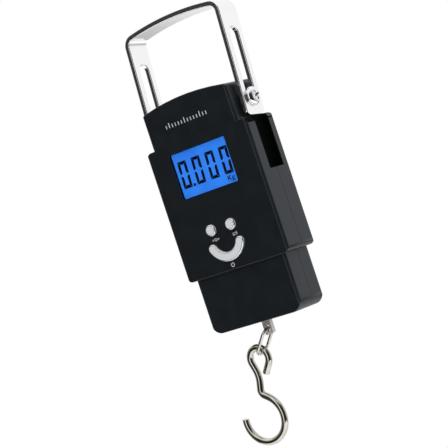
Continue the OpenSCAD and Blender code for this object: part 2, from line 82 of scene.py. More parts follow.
def add_node(tree, kind, links=(), **settings):
    """Adds a node, fills its sockets or properties, and joins (node, output) to its inputs."""
    made = tree.nodes.new("ShaderNode" + kind)
    for name, value in settings.items():
        name = name.replace("__", " ")
        if name in made.inputs:
            made.inputs[name].default_value = value
        else:
            setattr(made, name, value)
    for source, output, target in links:
        tree.links.new(source.outputs[output], made.inputs[target])
    return made


world = bpy.data.worlds.new("studio")
scene.world = world
world.use_nodes = True
tree = world.node_tree
sky = tree.nodes["Background"]
ways = add_node(tree, "TexCoord")
compass = add_node(tree, "TexGradient", [(ways, "Generated", 0)], gradient_type="RADIAL")
walls = add_node(tree, "ValToRGB", [(compass, "Fac", "Fac")])
walls.color_ramp.interpolation = "EASE"
# compass bearing in degrees (0 in front, 90 to the right) and how bright the wall is there
bearings = [(-90, 0.55), (-64, 0.2), (-40, 0.03), (-10, 0.03), (3, 1.5), (13, 1.5),
            (25, 0.04), (92, 0.03), (116, 0.7), (142, 1.05), (200, 1.0), (270, 0.55)]
stops = walls.color_ramp.elements
for bearing, light in bearings[1:-1]:
    stops.new((bearing + 90) / 360)
for stop, (bearing, light) in zip(stops, bearings):
    stop.position = (bearing + 90) / 360
    stop.color = (light, light, light, 1)
rise = add_node(tree, "SeparateXYZ", [(ways, "Generated", 0)])
# high up the walls give way to an even ceiling
ceiling_light = 1.1
overhead = add_node(tree, "MapRange", [(rise, "Z", "Value")], interpolation_type="SMOOTHSTEP",
                    From__Min=0.35, From__Max=0.85)
room = add_node(tree, "Mix", [(overhead, "Result", "Factor"), (walls, "Color", 2)], data_type="FLOAT")
room.inputs[3].default_value = ceiling_light
# what comes from below is half as bright
below = add_node(tree, "MapRange", [(rise, "Z", "Value")], interpolation_type="SMOOTHSTEP",
                 From__Min=-0.5, From__Max=-0.12, To__Min=0.5, To__Max=1.0)
lit = add_node(tree, "Math", [(room, 0, 0), (below, "Result", 1)], operation="MULTIPLY")
path = add_node(tree, "LightPath")
seen = add_node(tree, "Mix", [(path, "Is Camera Ray", "Factor"), (lit, 0, 2)], data_type="FLOAT")
backdrop_light = 1.0
seen.inputs[3].default_value = backdrop_light
tree.links.new(seen.outputs[0], sky.inputs["Strength"])
sky.inputs["Color"].default_value = colour("#FFFFFF")


def area_light(name, place, aim, size, power):
    """A round soft light, in metres and watts, that leaves no reflection of its own."""
    data = bpy.data.lights.new(name, "AREA")
    data.shape, data.size, data.energy = "DISK", size, power
    lamp = bpy.data.objects.new(name, data)
    lamp.location = place
    lamp.rotation_mode = "QUATERNION"
    lamp.rotation_quaternion = (Vector(place) - Vector(aim)).to_track_quat("Z", "Y")
    lamp.visible_camera = lamp.visible_glossy = False
    scene.collection.objects.link(lamp)


area_light("key_light", place=(1.0, -0.9, 0.9), aim=camera_target, size=0.5, power=18)

floor_radius, floor_level = 1.2, -0.9
floor_mesh = bmesh.new()
bmesh.ops.create_circle(floor_mesh, cap_ends=True, segments=64, radius=floor_radius)
bmesh.ops.translate(floor_mesh, verts=floor_mesh.verts, vec=(0, 0, floor_level))
floor_data = bpy.data.meshes.new("floor")
floor_mesh.to_mesh(floor_data)
floor_mesh.free()
floor = bpy.data.objects.new("floor", floor_data)
scene.collection.objects.link(floor)
# Paper: matt white, and lit a little by itself so that it stays pale.
paper = bpy.data.materials.new("white_paper")
paper.use_nodes = True
shader = paper.node_tree.nodes["Principled BSDF"]
shader.inputs["Base Color"].default_value = colour("#F4F4F4")
shader.inputs["Roughness"].default_value = 0.9
shader.inputs["Emission Color"].default_value = colour("#FFFFFF")
shader.inputs["Emission Strength"].default_value = 0.25
floor_data.materials.append(paper)

# ---------- casing ----------
# Two halves of black ABS, moulded with a fine spark-eroded grain and soft rims, and meeting in a
# seam round the sides. Pockets down both sides take the legs of the handle.
# All the casing's own sizes are in mm, with the front face at y 0 and the lower step at z 0.

width, depth, middle_height, upper_height, lower_height = 65, 23.6, 68, 18.4, 28.6
upper_step, lower_step, top_rise, wall, rim, edge = 5, 4.1, 2.8, 2, 0.5, 1.7
half, upper_half, lower_half = width / 2, width / 2 - upper_step, width / 2 - lower_step
lower_front, lower_back = 1.3, depth - 1.4
parting, corner, foot, shoulder = depth * 0.52, 3, 6, 2.4
shoulder_z = middle_height + upper_height
top_z = shoulder_z + top_rise
seam = 0.15
casing_place = Matrix.Translation(
    (0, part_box("front_shell")[0].y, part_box("front_shell")[0].z + lower_height * mm)) @ Matrix.Scale(mm, 4)


def trace(start, moves, arc_step=6):
    """A face in the front view, followed from a first corner by (x, z) lines and
    (centre x, centre z, degrees) arcs until it closes."""
    bm = bmesh.new()
    last = bm.verts.new((start[0], 0, start[1]))
    for move in moves:
        if len(move) == 2:
            last = bmesh.ops.extrude_vert_indiv(bm, verts=[last])["verts"][0]
            last.co = (move[0], 0, move[1])
        else:
            x, z, angle = move
            last = bmesh.ops.spin(bm, geom=[last], cent=(x, 0, z), axis=(0, -1, 0), angle=radians(angle),
                                  steps=max(2, round(abs(angle) / arc_step)))["geom_last"][0]
    bmesh.ops.remove_doubles(bm, verts=bm.verts, dist=1e-4)
    bmesh.ops.edgeloop_fill(bm, edges=bm.edges)
    return bm


def thicken(bm, y0, y1, front_rim=0.0, back_rim=0.0, segments=4):
    """The front-view face made solid from y0 back to y1, its rims rounded."""
    bmesh.ops.translate(bm, verts=bm.verts, vec=(0, y0, 0))
    far = bmesh.ops.extrude_face_region(bm, geom=bm.faces[:])["geom"]
    far_verts = [v for v in far if isinstance(v, bmesh.types.BMVert)]
    bmesh.ops.translate(bm, verts=far_verts, vec=(0, y1 - y0, 0))
    bmesh.ops.recalc_face_normals(bm, faces=bm.faces)
    for y, amount in ((y0, front_rim), (y1, back_rim)):
        if amount:
            rim_edges = [e for e in bm.edges if all(abs(v.co.y - y) < 1e-4 for v in e.verts)]
            bmesh.ops.bevel(bm, geom=rim_edges, offset=amount, affect="EDGES", segments=segments,
                            profile=0.5, material=-1)
    return bm


def round_rect(x0, x1, z0, z1, r):
    """A rectangle with round corners, in the front view."""
    return trace((x0 + r, z0), [(x1 - r, z0), (x1 - r, z0 + r, 90), (x1, z1 - r), (x1 - r, z1 - r, 90),
                                (x0 + r, z1), (x0 + r, z1 - r, 90), (x0, z0 + r), (x0 + r, z0 + r, 90)],
                 arc_step=15)


def block(x, y, z):
    """A box between the two ends given on each axis."""
    bm = bmesh.new()
    bmesh.ops.create_cube(bm, size=1)
    bmesh.ops.scale(bm, verts=bm.verts, vec=(x[1] - x[0], y[1] - y[0], z[1] - z[0]))
    middle = ((x[0] + x[1]) / 2, (y[0] + y[1]) / 2, (z[0] + z[1]) / 2)
    bmesh.ops.translate(bm, verts=bm.verts, vec=middle)
    return bm


def rod(start, end, diameter, segments=48):
    """A round bar between two points."""
    bm = bmesh.new()
    start, end = Vector(start), Vector(end)
    bmesh.ops.create_cone(bm, cap_ends=True, segments=segments, radius1=diameter / 2, radius2=diameter / 2,
                          depth=(end - start).length)
    turn = Vector((0, 0, 1)).rotation_difference(end - start).to_matrix().to_4x4()
    bmesh.ops.transform(bm, matrix=Matrix.Translation((start + end) / 2) @ turn, verts=bm.verts)
    return bm


def shaped(bm, joined=(), cut=(), within=()):
    """One solid kept within others, with more joined to it and cut out of it."""
    def loose(shape):
        """The shape as an object that a modifier can use."""
        data = bpy.data.meshes.new("shape")
        bmesh.ops.recalc_face_normals(shape, faces=shape.faces)
        shape.to_mesh(data)
        shape.free()
        made = bpy.data.objects.new("shape", data)
        scene.collection.objects.link(made)
        return made
    base = loose(bm)
    steps = ((within, "INTERSECT"), (joined, "UNION"), (cut, "DIFFERENCE"))
    others = [(loose(shape), how) for shapes, how in steps for shape in shapes]
    for other, how in others:
        step = base.modifiers.new("step", "BOOLEAN")
        step.object, step.operation, step.solver = other, how, "EXACT"
    bpy.context.view_layer.update()
    data = bpy.data.meshes.new_from_object(base.evaluated_get(bpy.context.evaluated_depsgraph_get()))
    for used in [base] + [other for other, how in others]:
        bpy.data.objects.remove(used)
    result = bmesh.new()
    result.from_mesh(data)
    bpy.data.meshes.remove(data)
    bmesh.ops.remove_doubles(result, verts=result.verts, dist=1e-3)
    return result


def soften(bm, amount, angle=50, segments=2, keep=lambda edge: True):
    """Rounds every edge sharper than the angle."""
    sharp = [e for e in bm.edges
             if len(e.link_faces) == 2 and e.calc_face_angle(0) > radians(angle) and keep(e)]
    bmesh.ops.bevel(bm, geom=sharp, offset=amount, affect="EDGES", segments=segments, profile=0.5,
                    material=-1, clamp_overlap=True)
    return bm


def piece(name, bm, materials, body, nodes=(), place=casing_place, round_work=False):
    """Puts a finished shape in its place on its body, in its material."""
    bmesh.ops.transform(bm, matrix=place, verts=bm.verts)
    data = bpy.data.meshes.new(name)
    for face in bm.faces:
        face.smooth = True
    bm.to_mesh(data)
    bm.free()
    data.set_sharp_from_angle(angle=radians(40))
    for material in materials if isinstance(materials, list) else [materials]:
        data.materials.append(material)
    made = bpy.data.objects.new(name, data)
    scene.collection.objects.link(made)
    if not round_work:
        flat = made.modifiers.new("flat_faces", "WEIGHTED_NORMAL")
        flat.keep_sharp = True
    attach(made, body)
    if nodes:
        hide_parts(*nodes)
    return made


def new_material(name):
    """A material with its node tree, its shader and the object's own coordinates."""
    made = bpy.data.materials.new(name)
    made.use_nodes = True
    return made, made.node_tree, made.node_tree.nodes["Principled BSDF"], add_node(made.node_tree, "TexCoord")


def per_mm(size):
    """Texture scale whose pattern repeats at about that size in mm."""
    return 1000 / size


def mottled(tree, coords, target, dark, light, size, low=0.35, high=0.65):
    """Colour that drifts between two shades in patches of that size."""
    cloud = add_node(tree, "TexNoise", [(coords, "Object", "Vector")], Scale=per_mm(size), Detail=3.0)
    ramp = add_node(tree, "ValToRGB", [(cloud, "Fac", "Fac")])
    ends = ramp.color_ramp.elements
    ends[0].position, ends[1].position = low, high
    ends[0].color, ends[1].color = colour(dark), colour(light)
    tree.links.new(ramp.outputs["Color"], target)
    return cloud


def grained(tree, coords, shader, size, strength, depth_mm):
    """Fine relief of that size in the surface."""
    grain = add_node(tree, "TexNoise", [(coords, "Object", "Vector")], Scale=per_mm(size), Detail=2.0)
    relief = add_node(tree, "Bump", [(grain, "Fac", "Height")], Strength=strength, Distance=depth_mm * mm)
    tree.links.new(relief.outputs["Normal"], shader.inputs["Normal"])
    return grain


def varied(tree, source, target, low, high):
    """Lets a pattern swing a value between two ends."""
    swing = add_node(tree, "MapRange", [(source, "Fac", "Value")])
    swing.inputs["To Min"].default_value, swing.inputs["To Max"].default_value = low, high
    tree.links.new(swing.outputs["Result"], target)


# Moulded ABS: near black with a faint blue cast, satin from the spark-eroded mould. The real
# grain of 0.05 mm is drawn at 0.6 mm so that it shows.
black_abs, tree, shader, coords = new_material("black_abs")
mottled(tree, coords, shader.inputs["Base Color"], "#0D1013", "#12161A", 9)
grain = grained(tree, coords, shader, 0.6, 0.4, 0.04)
varied(tree, grain, shader.inputs["Roughness"], 0.36, 0.46)
shader.inputs["IOR"].default_value = 1.53
shader.inputs["Specular Tint"].default_value = colour("#DCE6F2")

# The pocket walls were left as the electrode made them, dull. Their colour is painted shade, darker than the
# casing's black and with little gloss, since no light gets down to them.
pocket_painted_shade, tree, shader, coords = new_material("pocket_abs_painted_shade")
mottled(tree, coords, shader.inputs["Base Color"], "#020303", "#040506", 1)
grained(tree, coords, shader, 0.4, 0.3, 0.05)
shader.inputs["Roughness"].default_value = 0.95
shader.inputs["Specular IOR Level"].default_value = 0.1

bow = (upper_half ** 2 + top_rise ** 2) / (2 * top_rise)
shoulder_lift = sqrt((bow - shoulder) ** 2 - (upper_half - shoulder) ** 2)
shoulder_mid = (upper_half - shoulder, top_z - bow + shoulder_lift)
shoulder_turn = degrees(atan2(shoulder_lift, upper_half - shoulder))
leg_outer = half - 1.2
strip_thickness, strip_width = 2.6, 14.4
leg_inner = leg_outer - strip_thickness
screw_y, screw_z, screw_bore = depth * 0.56, middle_height + upper_height / 2, 5.2
handle_travel, leg_tail, handle_lean = 32, 9, 4.4
pocket = (screw_y - strip_width / 2 - (leg_tail + handle_travel) * sin(radians(handle_lean)) - 0.5,
          screw_y + strip_width / 2 + 0.4)
pocket_floor = screw_z - leg_tail - handle_travel - 1.6
window = (screw_y - 6.2, screw_y + 5.6)
window_floor = middle_height - 27


def upper_face():
    """The narrow top with its gently curved edge."""
    x, z = shoulder_mid
    return trace((-upper_half, middle_height - 10), [
        (upper_half, middle_height - 10), (upper_half, z), (x, z, shoulder_turn),
        (0, top_z - bow, 180 - 2 * shoulder_turn), (-x, z, shoulder_turn),
        (-upper_half, middle_height - 10)], 3)


def foot_face():
    """The narrow foot with its round lower corners."""
    return trace((-lower_half + foot, -lower_height), [
        (lower_half - foot, -lower_height), (lower_half - foot, -lower_height + foot, 90),
        (lower_half, 10), (-lower_half, 10), (-lower_half, -lower_height + foot),
        (-lower_half + foot, -lower_height + foot, 90)])


def casing_block(face, half_width, y, z, cut_y, rims):
    """One storey of the casing, its four upright edges rounded, kept to one side of the seam."""
    upright_edges = block((-half_width, half_width), y, z)
    corners = [e for e in upright_edges.edges if abs(e.verts[0].co.z - e.verts[1].co.z) > 1]
    bmesh.ops.bevel(upright_edges, geom=corners, offset=edge, affect="EDGES", segments=6, profile=0.5,
                    material=-1)
    return shaped(thicken(face, *cut_y, *rims), within=[upright_edges])


def casing_half(front):
    """The three storeys of the front or the back half, joined."""
    def span(y0, y1):
        """The part of a storey's depth that lies in this half."""
        return (y0, parting) if front else (parting, y1)
    rims = (rim, seam) if front else (seam, rim)
    tall = (-lower_height - 1, top_z + 1)
    return shaped(casing_block(round_rect(-half, half, 0, middle_height, corner), half, (0, depth), tall,
                               span(0, depth), rims),
                  joined=[casing_block(upper_face(), upper_half, (0, depth), tall, span(0, depth), rims),
                          casing_block(foot_face(), lower_half, (lower_front, lower_back), tall,
                                       span(lower_front, lower_back), rims)])


def side_openings():
    """The pocket of each leg, and the window that opens it to the side."""
    made, leg_gap, above = [], 0.25, middle_height + 3
    for side in (-1, 1):
        pocket_x = sorted((side * (leg_inner - leg_gap), side * (leg_outer + leg_gap)))
        window_x = sorted((side * leg_outer, side * (half + 3)))
        made.append(block(pocket_x, pocket, (pocket_floor, above)))
        made.append(block(window_x, window, (window_floor, above)))
    return made


def side_bore(side):
    """The bore that a side screw's shank turns in."""
    return rod((side * (upper_half - 5), screw_y, screw_z), (side * (upper_half + 1), screw_y, screw_z),
               screw_bore)


def hollow():
    """The room inside the three storeys, one wall in from the outside."""
    inner = upper_half - wall
    return [block((-inner, inner), (wall, depth - wall), (wall, shoulder_z - wall)),
            block((-half + wall, half - wall), (wall, depth - wall), (wall, pocket_floor - wall)),
            block((-lower_half + wall, lower_half - wall), (lower_front + wall, lower_back - wall),
                  (-lower_height + wall, wall + 1))]


def in_pocket(bm):
    """The walls of the side pockets take the second material, the painted shade."""
    for face in bm.faces:
        x, y, z = face.calc_center_median()
        inside = leg_inner - 0.3 < abs(x) < half - 0.02 and window_floor - 10 < z < middle_height + 0.1
        deep = pocket[0] - 0.02 < y < pocket[1] + 0.02 and abs(face.normal.z) < 0.9 or z < middle_height - 1
        outer = abs(x) > half - 0.05 or y < pocket[0] - 0.1 or y > pocket[1] + 0.1
        face.material_index = 1 if inside and deep and not outer else 0
    return bm


display_x, display_z, display_w, display_h = -1, middle_height - 16.2, 36, 23.4
keypad_x, key_z, key_pitch, round_key = -2, 21.7, 12.6, 5.8
crescent_z, crescent_radius, crescent_band, crescent_end, key_gap = 16.2, 9.4, 4.7, 23, 0.25


def crescent_face(grow):
    """The curved key's outline, or one that much bigger all round."""
    outer, inner = crescent_radius + crescent_band / 2 + grow, crescent_radius - crescent_band / 2 - grow
    c, s = cos(radians(crescent_end)), sin(radians(crescent_end))
    turn = 180 - 2 * crescent_end
    return trace((keypad_x - outer * c, crescent_z - outer * s), [
        (keypad_x, crescent_z, turn),
        (keypad_x + crescent_radius * c, crescent_z - crescent_radius * s, 180),
        (keypad_x, crescent_z, -turn),
        (keypad_x - crescent_radius * c, crescent_z - crescent_radius * s, 180)])


def display_rect(grow, r):
    """The outline of the display opening, or one that much bigger all round."""
    return round_rect(display_x - display_w / 2 - grow, display_x + display_w / 2 + grow,
                      display_z - display_h / 2 - grow, display_z + display_h / 2 + grow, r)


tab_gap, tab_width = 0.4, 4.9
tab_y = (7.75, 10.25)
lens_ledge, lens_seat = 1.5, 0.8
front_cuts = side_openings() + hollow()
front_cuts.append(thicken(display_rect(0, 1), -3, wall + 1))
front_cuts.append(thicken(display_rect(lens_ledge, 1.2), lens_seat, wall + 1))
for side in (-1, 1):
    x = keypad_x + side * key_pitch / 2
    front_cuts.append(rod((x, -3, key_z), (x, wall + 1, key_z), round_key + 2 * key_gap))
    front_cuts.append(side_bore(side))
front_cuts.append(thicken(crescent_face(key_gap), -3, wall + 1))
tab_reach = tab_width / 2 + tab_gap
front_cuts.append(block((-tab_reach, tab_reach), (tab_y[0] - tab_gap, tab_y[1] + tab_gap),
                        (-lower_height - 1, -lower_height + wall + 1)))
front_half = shaped(casing_half(True), cut=front_cuts)
piece("casing_front", in_pocket(front_half), [black_abs, pocket_painted_shade], "casing",
      ["front_shell"])

cell_x, bay_radius, tray_wall = 13, 5.45, 0.8
tray_half, bay_bottom, bay_top = cell_x + bay_radius + tray_wall, 2.4, 57.2
door_half, door_top, door_gap = tray_half + 1.6, 58.6, 0.2
# the casing screws as (x, z, y of the back there), each in a recess on a boss
case_screws = [(-lower_half + 8, -lower_height + 8, lower_back),
               (lower_half - 8, -lower_height + 8, lower_back),
               (-upper_half + wall + 7.5, shoulder_z - wall - 2.4, depth),
               (upper_half - wall - 7.5, shoulder_z - wall - 2.4, depth)]
recess_depth, recess_width, boss_width = 2.6, 5.8, 7.4
inner_cuts = side_openings() + hollow()
inner_cuts.append(block((-tray_half - 0.1, tray_half + 0.1), (depth - wall - 1, depth + 1),
                        (bay_bottom, bay_top)))
outer_cuts = [block((-door_half - door_gap, door_half + door_gap), (lower_back, depth + 1),
                    (-1, door_top + door_gap))]
outer_cuts += [side_bore(side) for side in (-1, 1)]
outer_cuts += [rod((x, y - recess_depth, z), (x, y + 1, z), recess_width) for x, z, y in case_screws]
bosses = [rod((x, y - wall - 1.5, z), (x, y - 1, z), boss_width) for x, z, y in case_screws]
back_half = shaped(casing_half(False), cut=inner_cuts)
back_half = shaped(back_half, joined=bosses, cut=outer_cuts)
piece("casing_back", in_pocket(back_half), [black_abs, pocket_painted_shade], "casing", ["back_shell"])

# ---------- battery door ----------
# A thin ABS slide flush with the back, with three ridges for the thumb and tongues that run in the
# casing, moulded in the same black grain.

door_thickness, tongue, ridge_half, ridge_tall = 1.2, 0.9, 6, 1.2
door_face = round_rect(-door_half, door_half, 0.1, door_top, 0.8)
tongues = block((-door_half - tongue, door_half + tongue), (depth - door_thickness, depth - 0.6),
                (0.1, door_top))
ridges = [thicken(round_rect(-ridge_half, ridge_half, z, z + ridge_tall, 0.55), depth - 0.3, depth + 0.4,
                  0, 0.25, 3) for z in (8, 10.4, 12.8)]
door = shaped(thicken(door_face, depth - door_thickness, depth, 0, 0.25, 2), joined=[tongues] + ridges)
piece("battery_door_slide", door, black_abs, "battery_cover", ["battery_door"])

# ---------- display ----------
# A liquid crystal panel lit blue from behind, in a black paper gasket, under a clear acrylic lens
# that is glued into the front half. It reads zero, with the unit below the last figure.

panel_front = wall + 0.2
# Backlit glass: an even bright blue that drifts a little, as light from the edge of a guide does.
blue_glass, tree, shader, coords = new_material("backlit_glass")
mottled(tree, coords, shader.inputs["Base Color"], "#2C7CE8", "#348CF4", 14, 0.3, 0.7)
tree.links.new(tree.nodes["Color Ramp"].outputs["Color"], shader.inputs["Emission Color"])
shader.inputs["Emission Strength"].default_value = 0.62
shader.inputs["Roughness"].default_value = 0.35
shader.inputs["IOR"].default_value = 1.52


def carried(names, material):
    """CAD nodes that stay as they are, in their material."""
    for name in names:
        node = frame["nodes"][name]
        node.data.materials.clear()
        node.data.materials.append(material)


carried(["lcd_panel"], blue_glass)

# Segment ink: the dark liquid crystal, navy black and slightly glossy.
segment_ink, tree, shader, coords = new_material("liquid_crystal")
mottled(tree, coords, shader.inputs["Base Color"], "#01020A", "#03061A", 0.6)
shader.inputs["Roughness"].default_value = 0.5
shader.inputs["Specular IOR Level"].default_value = 0.1

figure_w, figure_h, figure_pitch, stroke, slant = 5.5, 13.7, 8.9, 1.6, 0.04
figures_x, figures_z = -0.8, 0.2
ink = bmesh.new()


def flat_face(bm, corners):
    """A printed face in the front view."""
    bm.faces.new([bm.verts.new((x, 0, z)) for x, z in corners])


def seven_segment_zero(bm, x, z):
    """The six lit strokes of a zero, mitred where they meet."""
    w, h, gap, waist = figure_w / 2, figure_h / 2, 0.07, 0.45
    bar = [(-w + gap, h), (w - gap, h), (w - stroke - gap, h - stroke), (-w + stroke + gap, h - stroke)]
    post = [(w, h - gap), (w, waist), (w - stroke / 2, waist), (w - stroke, waist + stroke / 2),
            (w - stroke, h - stroke - gap)]
    for flip in (-1, 1):
        for outline in (bar, post, [(-px, pz) for px, pz in post]):
            flat_face(bm, [(x + px + slant * flip * pz, z + flip * pz) for px, pz in outline])


for place in range(4):
    seven_segment_zero(ink, figures_x + (place - 1.5) * figure_pitch, display_z + figures_z)
point_x, point_z, point_half = figures_x - figure_pitch - 0.5, display_z - figure_h / 2 + 0.8, 0.7
flat_face(ink, [(point_x + sx * point_half, point_z + sz * point_half)
                for sx, sz in ((-1, -1), (1, -1), (1, 1), (-1, 1))])
unit_size, unit_stretch, unit_x, unit_drop = 3.5, 1.2, 10.1, 9.9
unit_curve = bpy.data.curves.new("unit", "FONT")
unit_curve.body, unit_curve.size, unit_curve.offset = "Kg", unit_size, 0.055
unit_object = bpy.data.objects.new("unit", unit_curve)
scene.collection.objects.link(unit_object)
bpy.context.view_layer.update()
unit_data = bpy.data.meshes.new_from_object(unit_object)
bpy.data.objects.remove(unit_object)
unit_data.transform(Matrix.Translation((unit_x, 0, display_z - unit_drop))
                    @ Matrix.Rotation(radians(90), 4, "X") @ Matrix.Scale(unit_stretch, 4, (1, 0, 0)))
ink.from_mesh(unit_data)
bmesh.ops.translate(ink, verts=ink.verts, vec=(0, panel_front - 0.04, 0))
for face in ink.faces:
    face.normal_update()
bmesh.ops.reverse_faces(ink, faces=[f for f in ink.faces if f.normal.y > 0])
piece("display_figures", ink, segment_ink, "casing")

# Gasket: black die-cut card round the panel, soft and dull.
gasket_card, tree, shader, coords = new_material("gasket_card")
mottled(tree, coords, shader.inputs["Base Color"], "#070809", "#0B0C0E", 0.8)
shader.inputs["Roughness"].default_value = 0.75
gasket = shaped(thicken(display_rect(0.8, 1), panel_front - 0.16, panel_front - 0.02),
                cut=[thicken(display_rect(-0.3, 0.6), 0, 5)])
piece("display_gasket", gasket, gasket_card, "casing")

# Acrylic lens: clear and polished, with hardly a haze.
clear_lens, tree, shader, coords = new_material("acrylic_lens")
haze = add_node(tree, "TexNoise", [(coords, "Object", "Vector")], Scale=per_mm(3))
varied(tree, haze, shader.inputs["Roughness"], 0.02, 0.06)
shader.inputs["Base Color"].default_value = colour("#F6F9FF")
shader.inputs["Transmission Weight"].default_value = 1.0
shader.inputs["IOR"].default_value = 1.49
carried(["display_window"], clear_lens)

# ---------- keys ----------
# Two round caps and one curved one, moulded in ABS and painted satin silver, with their chamfers
# cut bright. They stand 1 mm proud of the face.

# Satin silver paint: pale and softly metallic, with a flake too fine to tell apart.
satin_silver, tree, shader, coords = new_material("satin_silver_paint")
mottled(tree, coords, shader.inputs["Base Color"], "#DEDFE3", "#E6E7EA", 0.5)
grained(tree, coords, shader, 0.12, 0.05, 0.01)
shader.inputs["Metallic"].default_value = 0.15
shader.inputs["Roughness"].default_value = 0.42
# Bright-cut chamfers: smooth metal, which mirrors the room in thin lines.
bright_cut, tree, shader, coords = new_material("bright_cut_chamfer")
mottled(tree, coords, shader.inputs["Base Color"], "#EDEEF0", "#F7F7F9", 2)
shader.inputs["Metallic"].default_value = 1.0
shader.inputs["Roughness"].default_value = 0.12

key_raise, chamfer = 1, 0.6


def key_cap(name, bm, body):
    """A key cap with a flat top and a bright chamfer round it."""
    thicken(bm, -key_raise, wall + 0.1, chamfer, 0, 5)
    for face in bm.faces:
        middle = face.calc_center_median().y
        face.material_index = 1 if -key_raise + 1e-3 < middle < -key_raise + chamfer + 1e-3 else 0
    piece("cap_" + name, bm, [satin_silver, bright_cut], body, [name])


bodies = frame["record"]["behaviour"]["bodies"]
body_of = {node: body for body, members in bodies.items() for node in members}
for side, name in ((-1, "key_left"), (1, "key_right")):
    cap = bmesh.new()
    bmesh.ops.create_circle(cap, cap_ends=True, segments=48, radius=round_key / 2)
    bmesh.ops.rotate(cap, verts=cap.verts, matrix=Matrix.Rotation(radians(90), 3, "X"))
    bmesh.ops.translate(cap, verts=cap.verts, vec=(keypad_x + side * key_pitch / 2, 0, key_z))
    key_cap(name, cap, body_of[name])
key_cap("key_crescent", crescent_face(0), body_of["key_crescent"])

# ---------- printed marks ----------
# Pad-printed in pale grey ink: a plain row of ticks above the display, and a small sign by each
# key, for zero, change of unit and standby.

# Pad-print ink: pale grey, matt and slightly uneven.
print_ink, tree, shader, coords = new_material("pad_print_ink")
mottled(tree, coords, shader.inputs["Base Color"], "#B4B9BC", "#CDD1D3", 0.4)
shader.inputs["Roughness"].default_value = 0.6
marks = bmesh.new()
tick_count, tick_left, tick_right, tick_z = 14, -14.6, 11.4, 76.0


def stroke_bar(bm, a, b, thick):
    """A printed stroke with square ends."""
    a, b = Vector(a), Vector(b)
    way = (b - a).normalized() * thick / 2
    side = Vector((-way.y, way.x))
    flat_face(bm, [a + side, b + side, b - side, a - side])


for i in range(tick_count):
    x = tick_left + (tick_right - tick_left) * i / (tick_count - 1)
    tall = 2.8 if i % 5 == 1 else 1.8
    stroke_bar(marks, (x, tick_z), (x, tick_z + tall), 0.5)


def ring_mark(x, z, radius, thick, start, turn):
    """A printed ring, whole or part of one."""
    ring = bmesh.new()
    a = radians(start)
    inner = ring.verts.new((x + (radius - thick / 2) * cos(a), 0, z + (radius - thick / 2) * sin(a)))
    outer = ring.verts.new((x + (radius + thick / 2) * cos(a), 0, z + (radius + thick / 2) * sin(a)))
    edge = ring.edges.new((inner, outer))
    bmesh.ops.spin(ring, geom=[inner, outer, edge], cent=(x, 0, z), axis=(0, -1, 0), angle=radians(turn),
                   steps=24)
    data = bpy.data.meshes.new("ring")
    ring.to_mesh(data)
    ring.free()
    marks.from_mesh(data)


zero_sign, swap_sign, power_sign = (-7.3, 16.6), (5.1, 16.5), (-2.1, 2.4)
shaft, barb = 0.28, 0.26
ring_mark(*zero_sign, 0.62, 0.3, 0, 360)
for side in (-1, 1):
    x, z = zero_sign
    stroke_bar(marks, (x + side * 2.3, z), (x + side * 1.2, z), shaft)
    stroke_bar(marks, (x + side * 1.7, z + 0.5), (x + side * 1.15, z), barb)
    stroke_bar(marks, (x + side * 1.7, z - 0.5), (x + side * 1.15, z), barb)
    x, z = swap_sign
    z += side * 0.45
    stroke_bar(marks, (x - 1.5, z), (x + 1.5, z), shaft)
    stroke_bar(marks, (x + side * 0.9, z + 0.5), (x + side * 1.5, z), barb)
    stroke_bar(marks, (x + side * 0.9, z - 0.5), (x + side * 1.5, z), barb)
ring_mark(*power_sign, 1.0, 0.32, 125, 290)
stroke_bar(marks, (power_sign[0], power_sign[1] + 0.2), (power_sign[0], power_sign[1] + 1.35), 0.32)
bmesh.ops.translate(marks, verts=marks.verts, vec=(0, -0.02, 0))
for face in marks.faces:
    face.normal_update()
bmesh.ops.reverse_faces(marks, faces=[f for f in marks.faces if f.normal.y > 0])
piece("printed_marks", marks, print_ink, "casing")

# ---------- handle ----------
# One flat strip of steel, bent into a bow and slotted along both legs, then polished and chrome
# plated. The edges are broken by the polishing, which also leaves the faint waves.

# Satin chrome plate: pale metal with soft reflections, bent by waves some 22 mm long.
satin_chrome, tree, shader, coords = new_material("satin_chrome_plate")
mottled(tree, coords, shader.inputs["Base Color"], "#EDEDEF", "#F3F2F3", 30)
waves = grained(tree, coords, shader, 22, 0.3, 0.2)
varied(tree, waves, shader.inputs["Roughness"], 0.17, 0.22)
shader.inputs["Metallic"].default_value = 1.0

bow_top, bow_rise, bow_corner, slot_width = 52.6, 3, 6, 7.1
bow_radius = (leg_outer ** 2 + bow_rise ** 2) / (2 * bow_rise)
bend_x = leg_outer - bow_corner
bend_lift = sqrt((bow_radius - bow_corner) ** 2 - bend_x ** 2)
bend_z = bow_top - bow_radius + bend_lift
bend_turn = degrees(atan2(bend_lift, bend_x))
lean_place = casing_place @ Matrix.Translation((0, screw_y, screw_z)) @ Matrix.Rotation(
    radians(-handle_lean), 4, "X")


def along(bm, end, step):
    """Draws the end face of a bar on by a straight step."""
    grown = bmesh.ops.extrude_face_region(bm, geom=[end])["geom"]
    bmesh.ops.translate(bm, verts=[v for v in grown if isinstance(v, bmesh.types.BMVert)], vec=step)
    return [f for f in grown if isinstance(f, bmesh.types.BMFace)][0]


def around(bm, end, centre, angle, steps):
    """Draws the end face of a bar on round a bend."""
    turned = bmesh.ops.spin(bm, geom=[end], cent=centre, axis=(0, -1, 0), angle=radians(angle), steps=steps)
    return [f for f in turned["geom_last"] if isinstance(f, bmesh.types.BMFace)][0]


